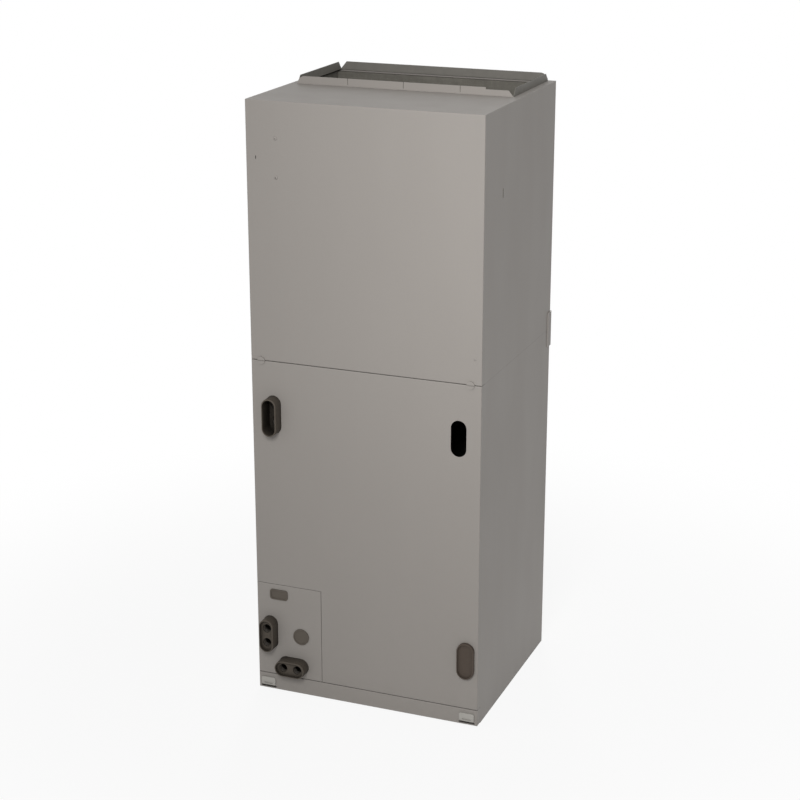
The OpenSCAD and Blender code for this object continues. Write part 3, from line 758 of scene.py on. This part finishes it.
class RingForm(Enum):
    """Outline of one ring of a turned piece."""

    ROUND = "round"
    HEX = "hex"
    CROSS = "cross"

    def reach(self, angle: float) -> float:
        """Share of the ring's radius that the outline reaches.

        Args:
            angle: Direction from the axis, in radians.

        Returns:
            1 on a round ring, less between a hexagon's corners or a cross's arms.
        """
        if self is RingForm.HEX:
            sector = math.tau / 6
            return math.cos(sector / 2) / math.cos(angle % sector - sector / 2)
        if self is RingForm.CROSS:
            return CROSS_WAIST + (1 - CROSS_WAIST) * abs(math.cos(2 * angle)) ** CROSS_SHARPNESS
        return 1.0


@dataclass(frozen=True)
class Ring:
    """One ring of a turned piece: its radius, its height and its outline."""

    radius: float
    height: float
    form: RingForm = RingForm.ROUND


def facing(spot: Vector, outward: Vector, turn: float = 0.0) -> Matrix:
    """Matrix that stands a piece on a face, turned about the face's outward direction in radians."""
    stand = outward.to_track_quat("Z", "Y").to_matrix().to_4x4()
    return Matrix.Translation(spot) @ stand @ Matrix.Rotation(turn, 4, "Z")


class Workpiece:
    """Faces of one added piece, gathered in the unit's frame."""

    def __init__(self, name: str, finish: Finish, slot: str) -> None:
        """Start an empty piece.

        Args:
            name: Name of the piece.
            finish: Its finish.
            slot: Its material slot; not used.
        """
        self.name = name
        self.finish = finish
        self.slot = slot
        self.mesh = bmesh.new()

    def _ring(self, place: Matrix, ring: Ring, sides: int) -> list[bmesh.types.BMVert]:
        """Add the vertices of one ring.

        Args:
            place: Where the turned piece stands.
            ring: The ring.
            sides: Number of vertices round it.

        Returns:
            The vertices, or a single one for a ring with no radius.
        """
        if ring.radius == 0:
            return [self.mesh.verts.new(place @ Vector((0, 0, ring.height)))]
        made = []
        for i in range(sides):
            angle = math.tau * i / sides
            reach = ring.radius * ring.form.reach(angle)
            spot = Vector((reach * math.cos(angle), reach * math.sin(angle), ring.height))
            made.append(self.mesh.verts.new(place @ spot))
        return made

    def _join(self, low: Sequence[bmesh.types.BMVert], high: Sequence[bmesh.types.BMVert]) -> None:
        """Fill the band between two rings, either of which may be a point.

        Args:
            low: Vertices of the first ring.
            high: Vertices of the second ring.
        """
        count = max(len(low), len(high))
        for i in range(count):
            after = (i + 1) % count
            if len(low) == 1:
                corners = [low[0], high[after], high[i]]
            elif len(high) == 1:
                corners = [low[i], low[after], high[0]]
            else:
                corners = [low[i], low[after], high[after], high[i]]
            self.mesh.faces.new(corners)

    def lathe(self, place: Matrix, rings: Sequence[Ring], sides: int) -> None:
        """Add a turned form.

        Args:
            place: Where its axis stands.
            rings: Its rings from the seat to the top, closed at both ends by rings of no radius.
            sides: Number of faces round it.
        """
        made = [self._ring(place, ring, sides) for ring in rings]
        for low, high in zip(made, made[1:]):
            self._join(low, high)

    def sweep(self, sections: Sequence[Sequence[Vector]]) -> None:
        """Add a bar with flat ends.

        Args:
            sections: Its outlines, one after another, with as many points each.
        """
        made = [[self.mesh.verts.new(spot) for spot in outline] for outline in sections]
        for low, high in zip(made, made[1:]):
            self._join(low, high)
        self.mesh.faces.new(list(reversed(made[0])))
        self.mesh.faces.new(made[-1])

    def close(self, crease: float = math.radians(32)) -> bpy.types.Object:
        """Turn the faces into an object that rides on the unit.

        Args:
            crease: Angle over which an edge stays sharp.

        Returns:
            The object.
        """
        bmesh.ops.recalc_face_normals(self.mesh, faces=self.mesh.faces)
        data = bpy.data.meshes.new(self.name)
        self.mesh.to_mesh(data)
        self.mesh.free()
        data.polygons.foreach_set("use_smooth", [True] * len(data.polygons))
        data.set_sharp_from_angle(angle=crease)
        data.materials.append(self.finish.material())
        made = bpy.data.objects.new(self.name, data)
        bpy.context.scene.collection.objects.link(made)
        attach(made, BODY)
        return made


@dataclass(frozen=True)
class HexScrew:
    """Sheet-metal screw with a dished hexagon head on a washer."""

    washer_r: float = 5.2 * MM
    washer_t: float = 0.8 * MM
    hex_r: float = 3.7 * MM
    head_h: float = 2.8 * MM
    dish_r: float = 2.2 * MM
    lip: float = 0.3 * MM
    sunk: float = 0.3 * MM
    sides: int = 24

    def drive(self, work: Workpiece, place: Matrix) -> None:
        """Add the screw's head.

        Args:
            work: Piece that the head joins.
            place: Where the head sits.
        """
        rings = [
            Ring(0, -self.sunk),
            Ring(self.washer_r, -self.sunk),
            Ring(self.washer_r, self.washer_t - self.lip),
            Ring(self.washer_r - self.lip, self.washer_t),
            Ring(self.hex_r, self.washer_t + self.lip, RingForm.HEX),
            Ring(self.hex_r, self.head_h - self.lip, RingForm.HEX),
            Ring(self.hex_r - 2 * self.lip, self.head_h),
            Ring(self.dish_r, self.head_h),
            Ring(self.dish_r - self.lip, self.head_h - 2 * self.lip),
            Ring(0, self.head_h - 2 * self.lip),
        ]
        work.lathe(place, rings, self.sides)


@dataclass(frozen=True)
class PanScrew:
    """Low domed screw with a cross recess that narrows to a point."""

    head_r: float = 4.6 * MM
    head_h: float = 2.4 * MM
    recess_r: float = 2.4 * MM
    recess_h: float = 1.3 * MM
    recess_taper: float = 0.7
    recess_rim: float = 1.1
    point: float = 0.3 * MM
    crown: float = 0.6
    sunk: float = 0.3 * MM
    steps: int = 5
    sides: int = 32

    def drive(self, work: Workpiece, place: Matrix) -> None:
        """Add the screw's head.

        Args:
            work: Piece that the head joins.
            place: Where the head sits.
        """
        turns = [math.pi / 2 * i / self.steps for i in range(self.steps)]
        dome = [Ring(self.head_r * math.cos(t) ** self.crown, self.head_h * math.sin(t)) for t in turns]
        floor = self.head_h - self.recess_h
        rings = [
            Ring(0, -self.sunk),
            Ring(self.head_r, -self.sunk),
            *[ring for ring in dome if ring.radius > self.recess_r * self.recess_rim],
            Ring(self.recess_r, self.head_h, RingForm.CROSS),
            Ring(self.recess_r * self.recess_taper, floor, RingForm.CROSS),
            Ring(0, floor - self.point),
        ]
        work.lathe(place, rings, self.sides)


@dataclass(frozen=True)
class PipeThread:
    """Inside thread of a drain port, which runs out at both ends."""

    pitch: float = 1.9 * MM
    depth: float = 1.0 * MM
    flank: float = 0.42
    run_out: float = 0.05
    turns: int = 8
    steps: int = 28
    bite: float = 0.3 * MM

    def cut(self, work: Workpiece, mouth: Vector, inward: Vector, radius: float) -> None:
        """Add the thread's ridge.

        Args:
            work: Piece that the ridge joins.
            mouth: Middle of the port at its first turn.
            inward: Direction into the port.
            radius: Radius of the port.
        """
        place = facing(mouth, inward)
        half = self.flank * self.pitch
        root = radius + self.bite
        sections = []
        for i in range(self.turns * self.steps + 1):
            angle = math.tau * i / self.steps
            rise = self.pitch * i / self.steps
            full = min(1.0, i / self.steps, self.turns - i / self.steps)
            tip = radius - self.depth * (self.run_out + (1 - self.run_out) * full)
            profile = [(root, rise - half), (tip, rise), (root, rise + half)]
            ray = (math.cos(angle), math.sin(angle))
            sections.append([place @ Vector((r * ray[0], r * ray[1], height)) for r, height in profile])
        work.sweep(sections)


@dataclass
class SubAssembly:
    """One group of the unit's pieces, with the nodes of the frame that take each finish."""

    coats: ClassVar[dict[Finish, list[str]]] = {}

    def dress(self) -> None:
        """Give each node of the group its finish."""
        for finish, names in self.coats.items():
            for name in names:
                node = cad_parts[name]
                if not node.material_slots:
                    node.data.materials.append(None)
                for slot in node.material_slots:
                    slot.material = finish.material()

    def build(self) -> list[bpy.types.Object]:
        """Pieces that the group adds to the frame."""
        return []


@dataclass
class CabinetShell(SubAssembly):
    """Bent cabinet sheets, roof, rear brackets, cross rail and foot ring."""

    coats: ClassVar[dict[Finish, list[str]]] = {
        SHEET: ["upper_cabinet", "lower_cabinet"],
        ROOF: ["top_panel"],
        PAINT: ["rear_bracket_left", "rear_bracket_right"],
        ZINC: ["base_frame", "center_rail"],
    }
    edge_inset: float = 22 * MM
    columns: int = 4
    turn_step: float = 0.7
    screw: HexScrew = HexScrew()

    def build(self) -> list[bpy.types.Object]:
        """Screws on the back that hold roof, foot ring and joint, clear of the corner brackets.

        Returns:
            The joined screws.
        """
        low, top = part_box("lower_cabinet")[0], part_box("upper_cabinet")[1]
        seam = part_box("upper_cabinet")[0].z
        work = Workpiece("rear_sheet_screws", SCREW_ZINC, "galvanized_sheet")
        step = (top.x - low.x - 2 * self.edge_inset) / (self.columns - 1)
        every = range(self.columns)
        inner = every[1:-1]
        rows = [
            (low.z + self.edge_inset, every),
            (seam - self.edge_inset, inner),
            (seam + self.edge_inset, inner),
            (top.z - self.edge_inset, every),
        ]
        for row, (height, columns) in enumerate(rows):
            for column in columns:
                spot = Vector((low.x + self.edge_inset + step * column, top.y, height))
                turn = self.turn_step * column + row
                self.screw.drive(work, facing(spot, Vector((0, 1, 0)), turn))
        return [work.close()]


@dataclass
class AccessPanels(SubAssembly):
    """Folded front panels with their latches, clips and screws."""

    coats: ClassVar[dict[Finish, list[str]]] = {
        PAINT: [
            "blower_access_panel", "coil_access_panel", "fitting_panel", "filter_door",
            "panel_latch_left", "panel_latch_right",
        ],
        CLIP: ["filter_door_clip_left", "filter_door_clip_right"],
    }
    screw: PanScrew = PanScrew()
    screw_inset: float = 79.5 * MM
    screw_drops: tuple[float, ...] = (91 * MM, 187 * MM)
    first_turn: float = 0.4
    button: PanScrew = PanScrew(head_r=3.6 * MM, head_h=1.5 * MM, recess_r=1.7 * MM, recess_h=0.9 * MM)
    button_inset: float = 18 * MM
    button_rise: float = 66 * MM

    def build(self) -> list[bpy.types.Object]:
        """Painted screws on the blower panel.

        Returns:
            The joined screws.
        """
        low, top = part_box("blower_access_panel")
        outward = Vector((0, -1, 0))
        work = Workpiece("blower_panel_screws", PAINT, "cabinet_paint")
        for i, drop in enumerate(self.screw_drops):
            spot = Vector((low.x + self.screw_inset, low.y, top.z - drop))
            self.screw.drive(work, facing(spot, outward, self.first_turn + i))
        spot = Vector((top.x - self.button_inset, low.y, low.z + self.button_rise))
        self.button.drive(work, facing(spot, outward))
        return [work.close()]


@dataclass
class DrainFittings(SubAssembly):
    """Drain pans, their spouts and the plugs of unused cut-outs."""

    coats: ClassVar[dict[Finish, list[str]]] = {
        BLACK: ["side_drain_pan", "bottom_drain_pan", "low_drain_spout"],
        TAUPE: ["suction_line_plug", "liquid_line_plug"],
        BROWN: ["right_drain_plug"],
    }
    thread: PipeThread = PipeThread()
    port_r: float = 12 * MM
    port_offset: float = 20 * MM
    recess: float = 8 * MM
    upper_recess: float = 45 * MM
    upper_inset: float = 59 * MM
    upper_drop: float = 141 * MM
    lower_inset: float = 37 * MM
    lower_z: float = 168 * MM

    def _threads(self, name: str, middle: Vector, step: Vector, recess: float) -> bpy.types.Object:
        """Threads of a spout's two ports.

        Args:
            name: Name of the piece.
            middle: Middle of the spout's mouth.
            step: Offset from the middle to one port.
            recess: Depth of the mouth in front of the ports.

        Returns:
            The joined threads.
        """
        work = Workpiece(name, BLACK, "black_plastic")
        inward = Vector((0, 1, 0))
        for side in (-1, 1):
            mouth = middle + side * step + inward * (recess + self.thread.pitch)
            self.thread.cut(work, mouth, inward, self.port_r)
        return work.close()

    def build(self) -> list[bpy.types.Object]:
        """Threads in the ports of the three spouts.

        Returns:
            One piece a spout.
        """
        low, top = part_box("low_drain_spout")
        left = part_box("lower_cabinet")[0].x
        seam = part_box("upper_cabinet")[0].z
        upper = Vector((left + self.upper_inset, low.y, seam - self.upper_drop))
        lower = Vector((left + self.lower_inset, low.y, self.lower_z))
        lying = Vector(((low.x + top.x) / 2, low.y, (low.z + top.z) / 2))
        upright = Vector((0, 0, self.port_offset))
        level = Vector((self.port_offset, 0, 0))
        return [
            self._threads("upper_spout_threads", upper, upright, self.upper_recess),
            self._threads("lower_spout_threads", lower, upright, self.recess),
            self._threads("low_spout_threads", lying, level, self.recess),
        ]


@dataclass
class SupplyPlenum(SubAssembly):
    """Lined space under the supply outlet."""

    coats: ClassVar[dict[Finish, list[str]]] = {
        LINER: ["upper_insulation"],
        ZINC: ["plenum_divider", "blower_deck"],
    }
    screw: HexScrew = HexScrew()
    screw_gap: float = 12 * MM
    screws_a_side: int = 4
    turn_step: float = 0.5

    def build(self) -> list[bpy.types.Object]:
        """Screws that hold the blower housing to the deck.

        Returns:
            The joined screws.
        """
        deck_low, deck_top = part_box("blower_deck")
        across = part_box("blower_housing")[1].x + self.screw_gap
        work = Workpiece("blower_deck_screws", SCREW_ZINC, "galvanized_sheet")
        start = deck_low.y + 2 * self.screw_gap
        step = (deck_top.y - 2 * self.screw_gap - start) / (self.screws_a_side - 1)
        for side in (-1, 1):
            for i in range(self.screws_a_side):
                spot = Vector((across * side, start + step * i, deck_top.z))
                self.screw.drive(work, facing(spot, Vector((0, 0, 1)), self.turn_step * i))
        return [work.close()]


@dataclass
class BlowerUnit(SubAssembly):
    """Scroll housing, wheel, motor and its band."""

    coats: ClassVar[dict[Finish, list[str]]] = {
        ZINC: ["blower_housing", "blower_wheel", "motor_bracket"],
        MOTOR: ["blower_motor"],
    }


@dataclass
class CoilUnit(SubAssembly):
    """Leaning coil slabs with their plates, rails and wall liner."""

    coats: ClassVar[dict[Finish, list[str]]] = {
        FINS: ["coil_slab_left", "coil_slab_right"],
        ZINC: ["coil_front_plate", "coil_rear_plate", "coil_cap", "pan_rail_left", "pan_rail_right"],
        LINER: ["lower_insulation"],
    }


@dataclass
class FilterUnit(SubAssembly):
    """Pleated filter in its card frame, with the card straps under it."""

    coats: ClassVar[dict[Finish, list[str]]] = {
        CARD: ["filter_frame"],
        FELT: ["filter_media"],
        ZINC: ["filter_rail_left", "filter_rail_right"],
    }
    strap_w: float = 14 * MM
    strap_t: float = 0.9 * MM
    straps: int = 3
    tuck: float = 6 * MM

    def _strap(self, work: Workpiece, start: Vector, end: Vector) -> None:
        """Add one flat strap.

        Args:
            work: Piece that the strap joins.
            start: Middle of one end.
            end: Middle of the other end.
        """
        along = (end - start).normalized()
        across = along.cross(Vector((0, 0, 1))) * self.strap_w / 2
        up = Vector((0, 0, self.strap_t / 2))
        corners = [-across - up, across - up, across + up, -across + up]
        work.sweep([[spot + corner for corner in corners] for spot in (start, end)])

    def build(self) -> list[bpy.types.Object]:
        """Card straps that carry the pleats.

        Returns:
            The joined straps.
        """
        low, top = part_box("filter_media")
        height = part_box("filter_frame")[0].z + self.strap_t / 2
        work = Workpiece("filter_card_straps", CARD, "filter_card")
        for i in range(self.straps):
            share = (i + 1) / (self.straps + 1)
            deep = low.y + (top.y - low.y) * share
            start = Vector((low.x - self.tuck, deep, height))
            end = Vector((top.x + self.tuck, deep, height))
            self._strap(work, start, end)
        return [work.close()]


@dataclass(frozen=True)
class SoftLamp:
    """Soft square lamp: where it hangs and points, its power, width and beam in degrees."""

    name: str
    spot: Triple
    aim: Triple
    watts: float
    size: float
    spread: float


LAMPS = [
    SoftLamp("key", spot=(0.7, -3.1, 2.6), aim=(0.55, -0.15, 1.2), watts=15.0, size=1.0, spread=72.0),
    SoftLamp("rear", spot=(-1.1, 3.2, 1.0), aim=(0.0, 0.29, 0.85), watts=8.0, size=0.9, spread=50.0),
]


@dataclass
class Studio:
    """Floor, world, lamps and camera."""

    ground_r: float = 60.0
    ground_sides: int = 96
    ambient: float = 0.43
    yaw: float = 21.64
    pitch: float = 18.41
    distance: float = 4.936
    target: Triple = (-0.0131, 0.0145, 0.760)
    focal_px: float = 1880.0
    image_px: float = 800.0

    def ground(self) -> None:
        """Lay the wide floor disc under the unit."""
        mesh = bmesh.new()
        bmesh.ops.create_circle(mesh, cap_ends=True, radius=self.ground_r, segments=self.ground_sides)
        data = bpy.data.meshes.new("studio_ground")
        mesh.to_mesh(data)
        mesh.free()
        data.materials.append(GROUND.material())
        made = bpy.data.objects.new("studio_ground", data)
        bpy.context.scene.collection.objects.link(made)

    def world(self) -> None:
        """White for the rays that see the studio, soft grey light for the rest."""
        made = bpy.data.worlds.new("studio_world")
        made.use_nodes = True
        bench = ShaderBench(made.node_tree)
        strength = self.ambient + (1.0 - self.ambient) * bench.shows_backdrop()
        sky = bench.add("ShaderNodeBackground", {}, {"Color": WHITE, "Strength": strength})
        bench.add("ShaderNodeOutputWorld", {}, {"Surface": sky})
        bpy.context.scene.world = made

    def lamp(self, lamp: SoftLamp) -> None:
        """Hang one lamp.

        Args:
            lamp: Its place, aim and power.
        """
        data = bpy.data.lights.new(lamp.name, "AREA")
        data.energy = lamp.watts
        data.size = lamp.size
        data.spread = math.radians(lamp.spread)
        made = bpy.data.objects.new(lamp.name, data)
        made.location = lamp.spot
        made.rotation_mode = "QUATERNION"
        made.rotation_quaternion = (Vector(lamp.aim) - Vector(lamp.spot)).to_track_quat("-Z", "Y")
        made.visible_camera = False
        bpy.context.scene.collection.objects.link(made)

    def camera(self) -> None:
        """Set the camera at the photograph's angle."""
        yaw, pitch = math.radians(self.yaw), math.radians(self.pitch)
        look = Vector((
            -math.sin(yaw) * math.cos(pitch),
            math.cos(yaw) * math.cos(pitch),
            -math.sin(pitch),
        ))
        data = bpy.data.cameras.new("view")
        data.lens = self.focal_px / self.image_px * data.sensor_width
        made = bpy.data.objects.new("view", data)
        made.location = Vector(self.target) - look * self.distance
        made.rotation_mode = "QUATERNION"
        made.rotation_quaternion = look.to_track_quat("-Z", "Y")
        bpy.context.scene.collection.objects.link(made)
        bpy.context.scene.camera = made

    def build(self) -> None:
        """Set up the whole studio."""
        self.ground()
        self.world()
        for lamp in LAMPS:
            self.lamp(lamp)
        self.camera()
        bpy.context.scene.view_settings.view_transform = "Standard"


def main() -> None:
    """Dress the frame, add the pieces and set up the studio."""
    logging.basicConfig(level=logging.INFO, format="%(message)s")
    groups: list[SubAssembly] = [
        CabinetShell(),
        AccessPanels(),
        DrainFittings(),
        SupplyPlenum(),
        BlowerUnit(),
        CoilUnit(),
        FilterUnit(),
    ]
    for group in groups:
        group.dress()
        for piece in group.build():
            log.info("%s: %s with %d faces", type(group).__name__, piece.name, len(piece.data.polygons))
    Studio().build()


if __name__ == "__main__":
    main()
